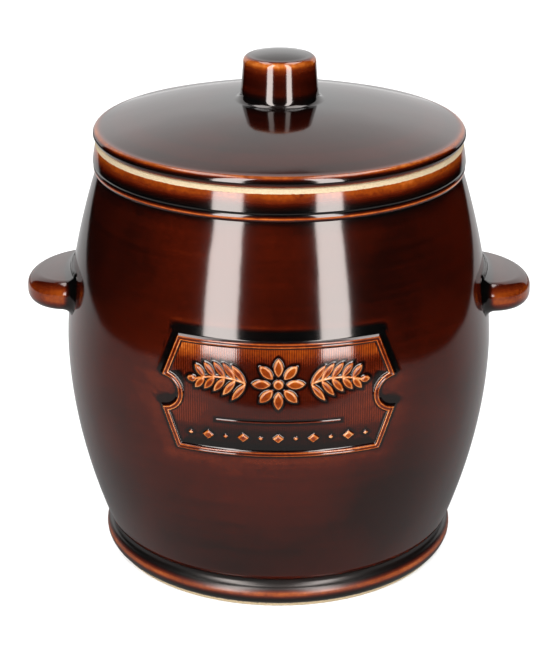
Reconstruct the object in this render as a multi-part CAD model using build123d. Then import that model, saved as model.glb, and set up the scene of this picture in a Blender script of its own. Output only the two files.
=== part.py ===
"""Water seal pickle jar of glazed stoneware: a barrel crock with lugs and a relief plate, a lid
with a knob, and two half-moon pressing stones. The origin is on the pot's axis at the level it
stands on, +Z is up and the plate faces -Y. Lengths are in millimetres, angles in degrees."""

import os
from math import sqrt

from build123d import *

# Barrel
belly_radius = 110.8
belly_height = 114.3
foot_curve_power = 1.9
shoulder_curve_power = 1.75
wall = 8.5
barrel_points = 13

# Foot ring, with the cove above it, its radii as steps in from the crest
foot_crest_radius = 93.2
foot_crest_height = 8.0
foot_inset = 4.0
foot_clay_height = 1.9
cove_start_inset = 1.6
cove_start_height = 11.6
cove_inset = 3.4
cove_height = 14.2
barrel_foot_inset = 1.2
barrel_foot_height = 17.6
foot_ring_width = 14.0
foot_recess = 2.5

# Inside floor
floor_thickness = 10.0
floor_corner = 10.0
floor_corner_turn = 70.0

# Collar with the bead at its lower edge, as steps in from its crest and drops from the rim
collar_radius = 95.0
rim_height = 222.7
collar_foot_inset = 1.4
collar_foot_drop = 16.4
bead_inset = 0.2
bead_drop = 14.3
bead_cove_inset = 0.7
bead_cove_drop = 12.6
collar_crest_drop = 9.5
collar_shoulder_inset = 1.5
collar_shoulder_drop = 2.3
rim_inset = 2.4
rim_width = 6.6
rim_round = 1.1

# Water gutter inside the collar, and the neck that is its inner wall
gutter_width = 15.0
gutter_depth = 27.7
gutter_round = 3.0
neck_wall = 6.0
neck_drop = 6.0
neck_round = 2.5
shelf_thickness = 7.0
shelf_fall = 15.0
vault_rise_share = 0.8

# Lid: a low dome with a rounded rim, and a skirt that stands in the gutter
lid_gap = 0.3
lid_inset = 0.4
lid_lip_inset = 1.8
lid_lip_round = 0.5
lid_side_height = 2.2
lid_rim_thickness = 5.6
lid_rim_round = 3.2
lid_dome_rise = 13.8
lid_vault_rise = 9.5
lid_vault_margin = 8.0
skirt_thickness = 5.5
skirt_round = 1.0
skirt_root = 3.0
notch_radius = 4.0

# Knob
knob_radius = 19.9
knob_waist_radius = 18.9
knob_top_radius = 18.4
knob_height = 20.4
knob_round = 3.2
knob_root = 2.0
knob_crown = 2.0

# Lugs, placed from the belly, their tips drooping a little
lug_projection = 20.5
lug_rise = 28.7
lug_width = 56.0
lug_thickness = 15.6
lug_droop = 4.6
lug_round_share = 0.46

# Relief plate, seen from the front and placed from the belly
plate_relief = 2.0
plate_ground = 0.8
plate_top_rise = 37.4
plate_bottom_fall = 20.1
plate_top_half = 48.1
plate_bottom_half = 48.8
plate_waist_half = 56.0
bite_rise = 8.7
bite_radius = 7.9
frame_width = 2.1

# Ornament on the plate: a rosette between two sprigs, a rule, and a row of lozenges
rosette_rise = 17.3
rosette_radius = 12.6
rosette_eye_radius = 2.3
petal_count = 8
petal_length = 8.8
petal_width = 4.4
sprig_start = 15.5
sprig_length = 24.5
sprig_lift = 2.4
stem_width = 1.0
leaf_pairs = 5
leaf_length = 11.0
leaf_width = 3.1
leaf_lean = 52.0
leaf_shrink_share = 0.42
rule_fall = 2.2
rule_half = 30.0
rule_width = 0.9
row_fall = 10.5
row_half = 42.0
row_gap_count = 10
lozenge_length = 5.4
lozenge_width = 4.6
small_lozenge_share = 0.42

# Pressing stones
stone_clearance = 10.5
stone_thickness = 18.0
stone_gap = 2.0
stone_corner = 8.0
stone_round = 3.0

# Cuts run this far past what they cut
overrun = 5.0

foot_radius = foot_crest_radius - foot_inset
cove_start_radius = foot_crest_radius - cove_start_inset
cove_radius = foot_crest_radius - cove_inset
barrel_foot_radius = foot_crest_radius - barrel_foot_inset
floor_height = foot_recess + floor_thickness
stone_radius = barrel_foot_radius - wall - stone_clearance
collar_foot_radius = collar_radius - collar_foot_inset
collar_foot_height = rim_height - collar_foot_drop
bead_radius = collar_radius - bead_inset
bead_height = rim_height - bead_drop
bead_cove_radius = collar_radius - bead_cove_inset
bead_cove_height = rim_height - bead_cove_drop
collar_crest_height = rim_height - collar_crest_drop
collar_shoulder_radius = collar_radius - collar_shoulder_inset
collar_shoulder_height = rim_height - collar_shoulder_drop
rim_radius = collar_radius - rim_inset
gutter_outer_radius = rim_radius - rim_width
gutter_floor_height = rim_height - gutter_depth
neck_outer_radius = gutter_outer_radius - gutter_width
mouth_radius = neck_outer_radius - neck_wall
neck_height = rim_height - neck_drop
shelf_height = gutter_floor_height - shelf_thickness
lid_radius = collar_radius - lid_inset
lid_lip_radius = collar_radius - lid_lip_inset
lid_base_height = rim_height + lid_gap
lid_rim_height = lid_base_height + lid_rim_thickness
skirt_outer_radius = gutter_outer_radius - (gutter_width - skirt_thickness) / 2
skirt_inner_radius = skirt_outer_radius - skirt_thickness
lug_reach = belly_radius + lug_projection
lug_height = belly_height + lug_rise
plate_top_height = belly_height + plate_top_rise
plate_bottom_height = belly_height - plate_bottom_fall
bite_height = belly_height + bite_rise
rosette_height = belly_height + rosette_rise
rule_height = belly_height - rule_fall
row_height = belly_height - row_fall


def barrel_radius(height):
    """Radius of the barrel's outside at a height: full at the belly, drawn in at both ends."""
    if height < belly_height:
        end_radius, end_height, power = barrel_foot_radius, barrel_foot_height, foot_curve_power
    else:
        end_radius, end_height, power = collar_foot_radius, collar_foot_height, shoulder_curve_power
    way = (height - belly_height) / (end_height - belly_height)
    return belly_radius - (belly_radius - end_radius) * way**power


def barrel_line(low, high, proud=0):
    """Barrel curve from one height to another, moved outwards by proud."""
    steps = [i / (barrel_points - 1) for i in range(barrel_points)]
    heights = [low + (high - low) * step for step in steps]
    return Spline([(barrel_radius(height) + proud, height) for height in heights])


def spin(*edges):
    """Solid turned from a closed outline, given as (radius, height) edges."""
    return revolve(Plane.YZ * make_face(Curve() + list(edges)), Axis.Z)


def barrel_solid(proud=0):
    """Solid barrel between foot and collar, its outside moved outwards by proud."""
    side = barrel_line(barrel_foot_height, collar_foot_height, proud)
    ends = Polyline(side @ 1, (0, collar_foot_height), (0, barrel_foot_height), side @ 0)
    return spin(side, ends)


def jar_outside():
    """Outline of the pot from its axis underneath, up the outside, to the collar's shoulder."""
    underside = Polyline(
        (0, foot_recess),
        (foot_radius - foot_ring_width, foot_recess),
        (foot_radius - foot_ring_width, 0),
        (foot_radius, 0),
        (foot_radius, foot_clay_height),
    )
    foot = ThreePointArc(
        underside @ 1,
        (foot_crest_radius, foot_crest_height),
        (cove_start_radius, cove_start_height),
    )
    cove = ThreePointArc(
        foot @ 1, (cove_radius, cove_height), (barrel_foot_radius, barrel_foot_height)
    )
    barrel = barrel_line(barrel_foot_height, collar_foot_height)
    bead = ThreePointArc(
        barrel @ 1, (bead_radius, bead_height), (bead_cove_radius, bead_cove_height)
    )
    collar = ThreePointArc(
        bead @ 1,
        (collar_radius, collar_crest_height),
        (collar_shoulder_radius, collar_shoulder_height),
    )
    return [underside, foot, cove, barrel, bead, collar]


def jar_inside(start, end):
    """Outline from the collar's shoulder over rim, gutter and neck, and down inside to the axis."""
    rim = FilletPolyline(
        start,
        (rim_radius, rim_height),
        (gutter_outer_radius, rim_height),
        (gutter_outer_radius, gutter_floor_height),
        (neck_outer_radius, gutter_floor_height),
        (neck_outer_radius, neck_height),
        (mouth_radius, neck_height),
        (mouth_radius, shelf_height),
        radius=[rim_round, rim_round, gutter_round, gutter_round, neck_round, neck_round],
    )
    vault_height = shelf_height - shelf_fall
    vault_radius = barrel_radius(vault_height) - wall
    vault = ThreePointArc(
        rim @ 1,
        (
            mouth_radius + (vault_radius - mouth_radius) * vault_rise_share,
            vault_height + shelf_fall * vault_rise_share / 2,
        ),
        (vault_radius, vault_height),
    )
    turn = JernArc((0, floor_height), (1, 0), floor_corner, floor_corner_turn)
    corner_height = (turn @ 1).Y
    corner = turn.moved(Location((barrel_radius(corner_height) - wall - (turn @ 1).X, 0)))
    side = barrel_line(corner_height, vault_height, -wall)
    ends = Polyline(corner @ 0, (0, floor_height), end)
    return [rim, vault, side, corner, ends]


def jar_body():
    outside = jar_outside()
    inside = jar_inside(outside[-1] @ 1, outside[0] @ 0)
    return spin(*outside, *inside)


def lug():
    """Half-round lug on the -X side, its root cut to the barrel that it is luted to."""
    root_radius = barrel_radius(lug_height) - wall / 2
    slab = extrude(Ellipse(lug_reach - root_radius, lug_width / 2), lug_thickness / 2, both=True)
    slab = fillet(slab.edges(), lug_thickness * lug_round_share)
    slab = Pos(-root_radius, 0, lug_height) * Rot(0, -lug_droop, 0) * slab
    return (slab - barrel_solid()).solid()


def ticket():
    """Outline face of the plate: a ticket with a round bite at each end."""
    half = Curve() + [
        Polyline(
            (0, plate_top_height),
            (plate_top_half, plate_top_height),
            (plate_waist_half, bite_height + bite_radius),
        ),
        ThreePointArc(
            (plate_waist_half, bite_height + bite_radius),
            (plate_waist_half - bite_radius, bite_height),
            (plate_waist_half, bite_height - bite_radius),
        ),
        Polyline(
            (plate_waist_half, bite_height - bite_radius),
            (plate_bottom_half, plate_bottom_height),
            (0, plate_bottom_height),
        ),
    ]
    return make_face(half + mirror(half, Plane.YZ))


def leaf(length, width):
    """Pointed leaf lying along +X from the origin."""
    upper = ThreePointArc((0, 0), (length / 2, width / 2), (length, 0))
    return make_face(Curve() + [upper, mirror(upper, Plane.XZ)])


def rosette():
    petals = [
        Rot(0, 0, 360 * i / petal_count)
        * Pos(rosette_radius - petal_length, 0)
        * leaf(petal_length, petal_width)
        for i in range(petal_count)
    ]
    return [Pos(0, rosette_height) * piece for piece in petals + [Circle(rosette_eye_radius)]]


def sprig():
    """Stem that bows gently to the right of the rosette, with leaves above and below it."""
    stem_end = sprig_start + sprig_length
    stem = ThreePointArc(
        (sprig_start, rosette_height),
        ((sprig_start + stem_end) / 2, rosette_height + sprig_lift),
        (stem_end, rosette_height),
    )
    tip = Pos(stem_end - stem_width, rosette_height)
    leaves = [tip * leaf(leaf_length * leaf_shrink_share, leaf_width)]
    for i in range(leaf_pairs):
        way = i / leaf_pairs
        length = leaf_length * (1 - leaf_shrink_share * way)
        for lean in (leaf_lean, -leaf_lean):
            leaves.append(Pos(stem @ way) * Rot(0, 0, lean) * leaf(length, leaf_width))
    return [trace(stem, stem_width)] + leaves


def lozenge(size_share=1):
    across, up = size_share * lozenge_length / 2, size_share * lozenge_width / 2
    return make_face(Polyline((across, 0), (0, up), (-across, 0), (0, -up), close=True))


def lozenge_row():
    """Row of large and small lozenges by turns, ending with small ones."""
    pieces = []
    for i in range(row_gap_count + 1):
        place = Pos(row_half * (2 * i / row_gap_count - 1), row_height)
        pieces.append(place * lozenge(1 if i % 2 else small_lozenge_share))
    return pieces


def label_plate():
    """Plate cut from a skin over the barrel, its ground sunk between frame and ornament."""
    outline = ticket()
    right = sprig()
    left = [mirror(piece, Plane.YZ) for piece in right]
    rule = Pos(0, rule_height) * Rectangle(2 * rule_half, rule_width)
    ornament = Sketch() + rosette() + right + left + rule + lozenge_row()
    pocket = offset(outline, -frame_width, kind=Kind.INTERSECTION) - ornament
    reach = belly_radius + plate_relief + overrun
    skin = barrel_solid(plate_relief) - barrel_solid()
    sunk = extrude(Plane.XZ * pocket, reach) - barrel_solid(plate_ground)
    return ((skin & extrude(Plane.XZ * outline, reach)) - sunk).solid()


def cap_height(radius, rim_radius, rise):
    """Height of a spherical cap over its rim, at a radius."""
    ball = (rim_radius**2 + rise**2) / (2 * rise)
    return sqrt(ball**2 - radius**2) - (ball - rise)


def cap_line(inner, outer, rim_radius, rim_level, rise):
    """Part of a spherical cap's outline, from an inner radius to an outer one."""
    radii = (inner, (inner + outer) / 2, outer)
    return ThreePointArc([(r, rim_level + cap_height(r, rim_radius, rise)) for r in radii])


def lid():
    dome_radius = lid_radius - lid_rim_round
    root_radius = knob_radius + knob_root
    dome = cap_line(root_radius, dome_radius, dome_radius, lid_rim_height, lid_dome_rise)
    vault_radius = skirt_inner_radius - lid_vault_margin
    vault = cap_line(0, vault_radius, vault_radius, lid_base_height, lid_vault_rise)
    skirt = FilletPolyline(
        vault @ 1,
        (skirt_inner_radius, lid_base_height),
        (skirt_inner_radius, gutter_floor_height),
        (skirt_outer_radius, gutter_floor_height),
        (skirt_outer_radius, lid_base_height),
        (lid_lip_radius, lid_base_height),
        (lid_radius, lid_base_height + lid_side_height),
        radius=[skirt_root, skirt_round, skirt_round, skirt_root, lid_lip_round],
    )
    side = Line(skirt @ 1, (lid_radius, lid_rim_height - lid_rim_round))
    rim = RadiusArc(side @ 1, dome @ 1, -lid_rim_round)
    seat = (knob_radius, knob_seat_height())
    root = RadiusArc(dome @ 0, seat, knob_root)
    top = Polyline(seat, (0, knob_seat_height()), vault @ 0)
    solid = spin(vault, skirt, side, rim, dome, root, top)
    notch = Rot(0, 90, 0) * Cylinder(notch_radius, 2 * (skirt_outer_radius + overrun))
    return solid - Pos(0, 0, gutter_floor_height) * notch


def knob_seat_height():
    """Level of the round land on the lid that carries the knob."""
    dome_radius = lid_radius - lid_rim_round
    rise = cap_height(knob_radius + knob_root, dome_radius, lid_dome_rise)
    return lid_rim_height + rise + knob_root


def lid_knob():
    seat = knob_seat_height()
    top = seat + knob_height
    base = Polyline((0, seat), (knob_radius, seat))
    side = ThreePointArc(
        base @ 1,
        (knob_waist_radius, seat + knob_height / 2),
        (knob_top_radius, top - knob_round),
    )
    face_radius = knob_top_radius - knob_round
    edge = RadiusArc(side @ 1, (face_radius, top), -knob_round)
    face = cap_line(0, face_radius, face_radius, top, knob_crown)
    return spin(base, side, edge, face, Line(face @ 0, base @ 0))


def stone():
    """Half-moon pressing stone on the -X side, lying on the floor inside."""
    straight = -stone_gap / 2
    reach = sqrt(stone_radius**2 - straight**2)
    outline = Curve() + [
        ThreePointArc((straight, reach), (-stone_radius, 0), (straight, -reach)),
        Line((straight, -reach), (straight, reach)),
    ]
    flat = make_face(outline)
    flat = fillet(flat.vertices(), stone_corner)
    solid = extrude(flat, stone_thickness)
    rims = solid.edges().filter_by(Axis.Z, reverse=True)
    return Pos(0, 0, floor_height) * fillet(rims, stone_round)


def main():
    left_lug, left_stone = lug(), stone()
    nodes = {
        "jar_body": jar_body(),
        "label_plate": label_plate(),
        "handle_left": left_lug,
        "handle_right": mirror(left_lug, Plane.YZ),
        "lid": lid(),
        "lid_knob": lid_knob(),
        "weight_left": left_stone,
        "weight_right": mirror(left_stone, Plane.YZ),
    }
    os.makedirs("parts", exist_ok=True)
    for name, solid in nodes.items():
        export_step(solid, f"parts/{name}.step")


main()
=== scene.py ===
"""The dressed water seal pickle jar: brown breaking glaze over cream stoneware, on a white floor.

Every turned piece is spun from an outline, the lugs and stones are shaped from primitives, and the
relief plate is a sheet bent round the barrel. Metres, +Z up, the plate faces -Y."""

import math

import bpy
import numpy as np
from mathutils import Matrix, Vector


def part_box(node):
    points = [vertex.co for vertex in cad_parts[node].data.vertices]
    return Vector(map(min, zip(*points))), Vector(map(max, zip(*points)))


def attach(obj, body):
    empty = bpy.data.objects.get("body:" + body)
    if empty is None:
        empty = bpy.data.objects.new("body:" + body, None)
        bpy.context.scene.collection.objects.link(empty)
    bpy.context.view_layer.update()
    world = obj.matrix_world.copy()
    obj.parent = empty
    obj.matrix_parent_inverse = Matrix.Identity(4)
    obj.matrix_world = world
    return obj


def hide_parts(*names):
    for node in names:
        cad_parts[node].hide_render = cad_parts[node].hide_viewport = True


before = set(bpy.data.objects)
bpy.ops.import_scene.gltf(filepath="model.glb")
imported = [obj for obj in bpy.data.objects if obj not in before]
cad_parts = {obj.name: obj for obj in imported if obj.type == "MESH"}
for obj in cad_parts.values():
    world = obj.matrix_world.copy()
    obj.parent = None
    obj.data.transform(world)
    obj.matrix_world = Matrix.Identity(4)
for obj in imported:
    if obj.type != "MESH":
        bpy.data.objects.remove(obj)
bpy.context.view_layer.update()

mm = 0.001

# Sizes read from the frame
jar_low, jar_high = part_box("jar_body")
lid_low, lid_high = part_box("lid")
knob_low, knob_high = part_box("lid_knob")
plate_low, plate_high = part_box("label_plate")
stone_low, stone_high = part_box("weight_left")
belly_radius = jar_high.x
rim_height = jar_high.z
gutter_floor = lid_low.z
lid_radius = lid_high.x
knob_seat = knob_low.z
knob_radius = knob_high.x

# Barrel
belly_height = 114.3 * mm
barrel_foot = (92.0 * mm, 17.6 * mm)
collar_foot = (93.6 * mm, 206.3 * mm)
foot_curve_power = 1.9
shoulder_curve_power = 1.75
wall = 8.5 * mm

# Foot, bead, collar and rim, as (radius, height)
foot_edge = (89.2 * mm, 1.9 * mm)
foot_crest = (93.2 * mm, 8.0 * mm)
cove_start = (91.6 * mm, 11.6 * mm)
cove_low = (89.8 * mm, 14.2 * mm)
foot_ring_inner = 75.2 * mm
foot_ring_slant = 1.0 * mm
foot_recess = 2.5 * mm
foot_bevel = (0.6 * mm, 0.5 * mm)
bead_crest = (94.8 * mm, 208.4 * mm)
bead_cove = (94.3 * mm, 210.1 * mm)
collar_crest = (95.0 * mm, 211.6 * mm)
collar_turn = (94.8 * mm, 210.6 * mm)
collar_middle = (94.35 * mm, 216.0 * mm)
collar_shoulder = (93.5 * mm, 220.4 * mm)
rim_radius = 92.6 * mm
rim_round = 1.1 * mm

# Gutter, neck and floor. The shelf bulges at these shares of its width and fall
gutter_outer = 86.0 * mm
neck_outer = 71.0 * mm
mouth_radius = 65.0 * mm
neck_height = rim_height - 6.0 * mm
gutter_round = 3.0 * mm
neck_round = 2.5 * mm
shelf_height = gutter_floor - 7.0 * mm
shelf_fall = 15.0 * mm
shelf_bulge = (0.8, 0.4)
floor_height = 12.5 * mm
floor_corner = (9.4 * mm, 6.5 * mm)
floor_bend = (3.0 * mm, 2.2 * mm)

# Lid and knob
lid_base = rim_height + 0.3 * mm
lid_lip_radius = 93.2 * mm
lid_side_height = 2.2 * mm
lid_rim_height = lid_base + 5.6 * mm
lid_rim_round = 3.2 * mm
lid_dome_rise = 13.8 * mm
lid_vault_rise = 9.5 * mm
lid_vault_margin = 8.0 * mm
skirt_outer = 81.25 * mm
skirt_inner = 75.75 * mm
skirt_round = 1.0 * mm
skirt_root = 3.0 * mm
lip_round = 0.5 * mm
notch_radius = 4.0 * mm
knob_root = 3.5 * mm
knob_root_top = 1.4 * mm
root_tuck = 0.2 * mm
knob_bed_margin = 1.0 * mm
knob_waist = 18.9 * mm
knob_top = 18.4 * mm
knob_round = 3.2 * mm
knob_height = 20.4 * mm
knob_crown = 2.0 * mm

# Lugs, their tips drooping a little
lug_height = 144.4 * mm
lug_reach = 131.3 * mm
lug_half_width = 30.2 * mm
lug_half_thickness = 7.8 * mm
lug_droop = math.radians(6.0)
lug_crown = 0.8 * mm
lug_edge_round = 0.84 * lug_half_thickness
lug_root_fillet = 4.4 * mm
lug_cut = 1.6 * mm

# Pressing stones
stone_corner = 8.0 * mm
stone_round = 3.0 * mm
stone_rim_angle = math.radians(60)

# Relief plate, seen from the front
plate_relief = 2.0 * mm
plate_ground = 0.8 * mm
plate_swell = 0.22 * mm
plate_foot = 3.5 * mm
plate_top_half = 48.1 * mm
plate_bottom_half = 48.8 * mm
plate_waist_half = 56.0 * mm
bite_height = 123.0 * mm
bite_radius = 7.9 * mm
frame_width = 2.4 * mm
frame_line = 0.62 * mm
frame_line_depth = 0.22
relief_edge = 0.5 * mm
ornament_share = 0.94
ornament_slope = (0.35 * mm, -0.75 * mm)
ground_slope = (0.4 * mm, -0.6 * mm)
swell_reach = 1.5 * mm
rim_sunk = 1.2 * mm
back_sunk = 2.6 * mm
rosette_height = 131.6 * mm
rosette_radius = 12.6 * mm
rosette_eye = 2.3 * mm
petal_count = 8
petal_length = 8.8 * mm
petal_width = 4.4 * mm
sprig_start = 15.5 * mm
sprig_length = 24.5 * mm
sprig_lift = 2.4 * mm
stem_width = 1.0 * mm
leaf_pairs = 5
leaf_length = 11.0 * mm
leaf_width = 3.1 * mm
leaf_lean = math.radians(52)
leaf_shrink = 0.42
rule_height = 112.1 * mm
rule_half = 30.0 * mm
rule_width = 0.6 * mm
rule_thinning = 0.2 * mm
row_height = 103.8 * mm
row_half = 42.0 * mm
row_gaps = 10
lozenge_half = (2.7 * mm, 2.3 * mm)
small_lozenge = 0.42

# How finely things are cut up
turn_steps = 256
barrel_step = 2.0 * mm
outline_step = 4.0 * mm
plate_step = 0.36 * mm
plate_margin = 6.0 * mm
plate_back_cells = (40, 20)
lug_sides = 192
stone_sides = 160
notch_sides = 48
turned_merge = 0.01 * mm
closing_merge = 0.005 * mm
crisp_angle = math.radians(50)
stone_crisp_angle = math.radians(30)

# How thin the glaze lies, from 0 where it pools to 1 over edges, against a length in mm
barrel_table = [
    (16.2, 0.2), (17.0, 0.56), (18.4, 0.42), (20, 0.3), (40, 0.3), (75, 0.38), (114, 0.37),
    (160, 0.37), (200, 0.39), (204.5, 0.28), (205.6, 0.1),
]
jar_table = [
    (2.2, 0.02), (5.6, 0.03), (6.9, 0.42), (8.0, 0.76), (9.4, 0.78), (10.6, 0.45), (11.6, 0.03),
    (15.0, 0.02), *barrel_table, (206.4, 0.02), (207.3, 0.3), (208.3, 0.93), (209.1, 0.5),
    (209.9, 0.0), (212.4, 0.02), (213.6, 0.16), (215, 0.38), (216.4, 0.58), (218.4, 0.74),
    (220.4, 0.78),
]
lid_side_table = [(0, 0.86), (0.4, 0.7), (0.9, 0.2), (1.4, 0.04), (3.2, 0.08), (3.9, 0.36),
                  (4.5, 0.72), (5.0, 0.82), (5.6, 0.8)]
lid_top_table = [(19, 0.0), (24, 0.0), (27, 0.1), (40, 0.26), (80, 0.33), (87, 0.3), (90, 0.34),
                 (90.8, 0.4), (91.6, 0.66), (92.6, 0.8)]
knob_side_table = [(0, 0.0), (2.0, 0.08), (4.5, 0.34), (8, 0.26), (13, 0.4), (16.2, 0.62),
                   (18.0, 0.84), (20.4, 0.8)]
knob_top_table = [(0, 0.02), (12, 0.06), (15, 0.2), (16.8, 0.62), (17.8, 0.84)]
# Patches on the barrel's front made paler or darker: painted light where the light falls brighter at
# the left and painted shade where the sides fall darker, with some of the dipping's own unevenness:
# x, height, reach in mm, and how much
barrel_patches = [
    (-45, 196, 20, 0.1), (50, 190, 34, -0.14), (-90, 176, 34, -0.17), (-82, 132, 18, 0.1),
    (-14, 82, 28, 0.08), (64, 70, 30, -0.16), (-80, 60, 24, -0.1), (15, 44, 36, -0.04),
]

# The film inside, under the lid and in pools, and how a bend inside thins it. The outside ends
# a skin's depth in from the barrel's face
inside_film, hidden_film, pooled_film = 0.42, 0.4, 0.02
bend_reach, bend_film, most_bent_film = 2 * mm, 0.5, 0.9
skin = 4.5 * mm
# Round the plate: the width of the dark pool beside it and what it gains above, which is pooled glaze
# and painted shadow along the plate's raised edge, where the pale line and the glow past it lie and
# how wide, and how much of the film each takes or adds
slope_step = 0.2 * mm
pool_beside, pool_above = 1.6 * mm, 4.2 * mm
pool_line, pool_glow = (0.6 * mm, 0.7 * mm), (2.5 * mm, 5.0 * mm)
pool_film, pool_line_film, pool_glow_film = 0.2, 0.1, 0.13
# On the plate: the film on the ground, what its sides and top add and its foot takes away, on
# the frame and its lines, and on the marks and their rims
ground_film, side_film, top_film, low_film = 0.38, 0.14, 0.26, 0.2
frame_film, line_film, mark_film, mark_rim_film = 0.5, 0.52, 0.72, 0.3
frame_pool, mark_pool = (1.0 * mm, 5.0 * mm), (2.0 * mm, 0.7 * mm)
top_band, low_band = (13 * mm, 6 * mm), (2 * mm, 6 * mm)
mark_rim = (-0.3 * mm, 0.4 * mm)
# How the film turns from one to the next over the plate's edge, the frame's and the marks'
plate_blur, frame_blur = (0.2 * mm, -0.4 * mm), (0.2 * mm, -0.3 * mm)
frame_inner_blur, mark_blur = (-0.3 * mm, 0.3 * mm), (0.35 * mm, -0.1 * mm)
# On the lugs: the film on the flat, what the edge adds and the underside takes away, what is
# added halfway out, and the pool at the root
lug_film, lug_edge_film, lug_under_film, lug_middle_film = 0.4, 0.29, 0.3, 0.08
lug_middle, lug_pool = (8 * mm, 5 * mm), (2.2 * mm, 5.2 * mm)
# Where the glaze starts and ends turning to bare clay, and the foot's glaze to dull
rim_wipe, rim_wipe_in, foot_wipe = (219.8 * mm, 220.8 * mm), 0.6 * mm, (2.4 * mm, 1.3 * mm)
skirt_wipe, lip_wipe, lip_wipe_out = (5 * mm, 3 * mm), (0.3 * mm, 0.1 * mm), (88 * mm, 90 * mm)
foot_dulling, foot_dull = (17 * mm, 15 * mm), 0.6

# Glaze patterns in cells a metre, which is 1000 over their size in mm: clouds 45 mm across,
# streaks 3 mm high, mottles 4 mm, crumbs 1.5 mm, waves 25 mm, orange peel 4 mm, the clay's
# grain 0.6 mm, and ribs 1.1 mm apart, which is as fine as the render shows
clouds_a_metre, mottles_a_metre, crumbs_a_metre = 22, 240, 650
streaks_a_metre = (14, 14, 330)
waves_a_metre, peel_a_metre, grain_a_metre = 40, 250, 1800
rib_spacing = 1.1 * mm
# What each adds to the film and to the wiped edge
cloud_film, streak_film, crumb_film, mottle_film, rib_film = 0.34, 0.16, 0.22, 0.26, 0.09
streak_wipe, crumb_wipe, wipe_blur = 0.5, 0.7, (0.4, 0.55)
glaze_roughness, clay_roughness, dull_roughness = 0.095, 0.8, 0.34
# Relief of the glaze, a few hundredths of a mm deep, and each pattern's share of it
relief_depth = 0.12 * mm
wave_share, peel_share, rib_share, grain_share = 1.0, 0.05, 0.015, 0.8
# Stones: grit 0.6 mm and tone 30 mm across, and iron specks 4 mm apart
grit_a_metre, tone_a_metre, specks_a_metre = 1600, 30, 260
grit_depth, speck_size, speck_strength = 0.2 * mm, (0.05, 0.13), 0.55

# How bright the white room is against how steeply one looks up, as a share of its most
room_glow = [(0.0, 0.5), (0.12, 0.56), (0.35, 0.76), (0.6, 0.68), (0.75, 0.66)]
room_strength = 1.8

# Studio, in metres: the floor's half width, the white table's left, right and front edges and how
# far the dark goes on, the dark wall, the ceiling, its lights' x spans, and each strip's azimuth
# in degrees and width
floor_half = 4
table_edges = (-0.695, 0.61, -0.44, 2.4)
card_lift = 0.5 * mm
wall_radius = 1.55
wall_height = 2.4
wall_turn = math.radians(131)
ceiling_grey = "#4c4c4c"
ceiling_back = 1.75
overhead_lights = ((-1.4, -0.5), (0.34, 1.3))
overhead_depth = (-0.5, 1.2)
overhead_drop = 0.02
overhead_strength = 7
strips = ((-29.4, 0.365), (28.7, 0.32))
strip_distance = 1.2
strip_power = 50

# Camera, fitted to the photograph: lens and sensor in mm, place in metres
camera_lens, camera_sensor = 105.83, 36
camera_place = (0.00064, -0.94696, 0.49096)
camera_tilt = math.radians(68.45)
camera_roll = math.radians(0.2154)

# Glaze colours from pooled to thin, and the bare clay's
glaze_stops = [(0.0, "#020202"), (0.22, "#0e0201"), (0.45, "#250501"), (0.65, "#401203"),
               (0.8, "#622905"), (0.91, "#834619"), (1.0, "#916844")]
clay_stops = [(0.3, "#796a52"), (0.7, "#94856b")]
stone_stops = [(0.3, "#c2b28f"), (0.7, "#d9ccad")]
speck_brown = "#6b4a2c"
specular_tint = "#fff4ef"
# The white table's grey near the pot, which shades it, and further back, along its length
table_stops = [(0.16, "#707070"), (0.27, "#a4a4a4")]


# Outlines, worked out as points (radius, height)


def arc(start, through, end, count=12):
    """Points on the circle through three points, without the first."""
    (ax, ay), (bx, by), (cx, cy) = start, through, end
    d = 2 * (ax * (by - cy) + bx * (cy - ay) + cx * (ay - by))
    a2, b2, c2 = ax**2 + ay**2, bx**2 + by**2, cx**2 + cy**2
    ux = (a2 * (by - cy) + b2 * (cy - ay) + c2 * (ay - by)) / d
    uy = (a2 * (cx - bx) + b2 * (ax - cx) + c2 * (bx - ax)) / d
    radius = math.hypot(ax - ux, ay - uy)
    first = math.atan2(ay - uy, ax - ux)
    middle = (math.atan2(by - uy, bx - ux) - first) % (2 * math.pi)
    last = (math.atan2(cy - uy, cx - ux) - first) % (2 * math.pi)
    if middle > last:
        last -= 2 * math.pi
    turns = [first + last * (i + 1) / count for i in range(count)]
    return [(ux + radius * math.cos(t), uy + radius * math.sin(t)) for t in turns]


def rounded(corners, radii, count=6):
    """Points of a line through corners, each inner corner rounded by its radius."""
    points = [corners[0]]
    for before, corner, after, radius in zip(corners, corners[1:], corners[2:], radii):
        here = Vector(corner)
        back = (Vector(before) - here).normalized()
        ahead = (Vector(after) - here).normalized()
        half = back.angle(ahead) / 2
        reach = radius / math.tan(half)
        middle = here + (back + ahead).normalized() * (radius / math.sin(half) - radius)
        start, end = here + back * reach, here + ahead * reach
        points += [tuple(start)] + arc(tuple(start), tuple(middle), tuple(end), count)
    return points + [corners[-1]]


def thinned(points, longest):
    """The same line with long runs cut into pieces no longer than that."""
    out = [points[0]]
    for a, b in zip(points, points[1:]):
        steps = max(1, math.ceil(math.dist(a, b) / longest))
        out += [
            (a[0] + (b[0] - a[0]) * i / steps, a[1] + (b[1] - a[1]) * i / steps)
            for i in range(1, steps + 1)
        ]
    return out


def barrel_radius(height):
    """Radius of the barrel's outside at a height."""
    (end_radius, end_height), power = collar_foot, shoulder_curve_power
    if height < belly_height:
        (end_radius, end_height), power = barrel_foot, foot_curve_power
    way = (height - belly_height) / (end_height - belly_height)
    return belly_radius - (belly_radius - end_radius) * abs(way) ** power


def barrel_radii(heights):
    return np.array([barrel_radius(h) for h in heights])


def barrel_line(low, high, proud=0.0, step=barrel_step):
    """Points up or down the barrel's outside, or that far proud of it."""
    count = max(2, round(abs(high - low) / step))
    heights = [low + (high - low) * i / count for i in range(count + 1)]
    return [(barrel_radius(h) + proud, h) for h in heights]


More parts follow.
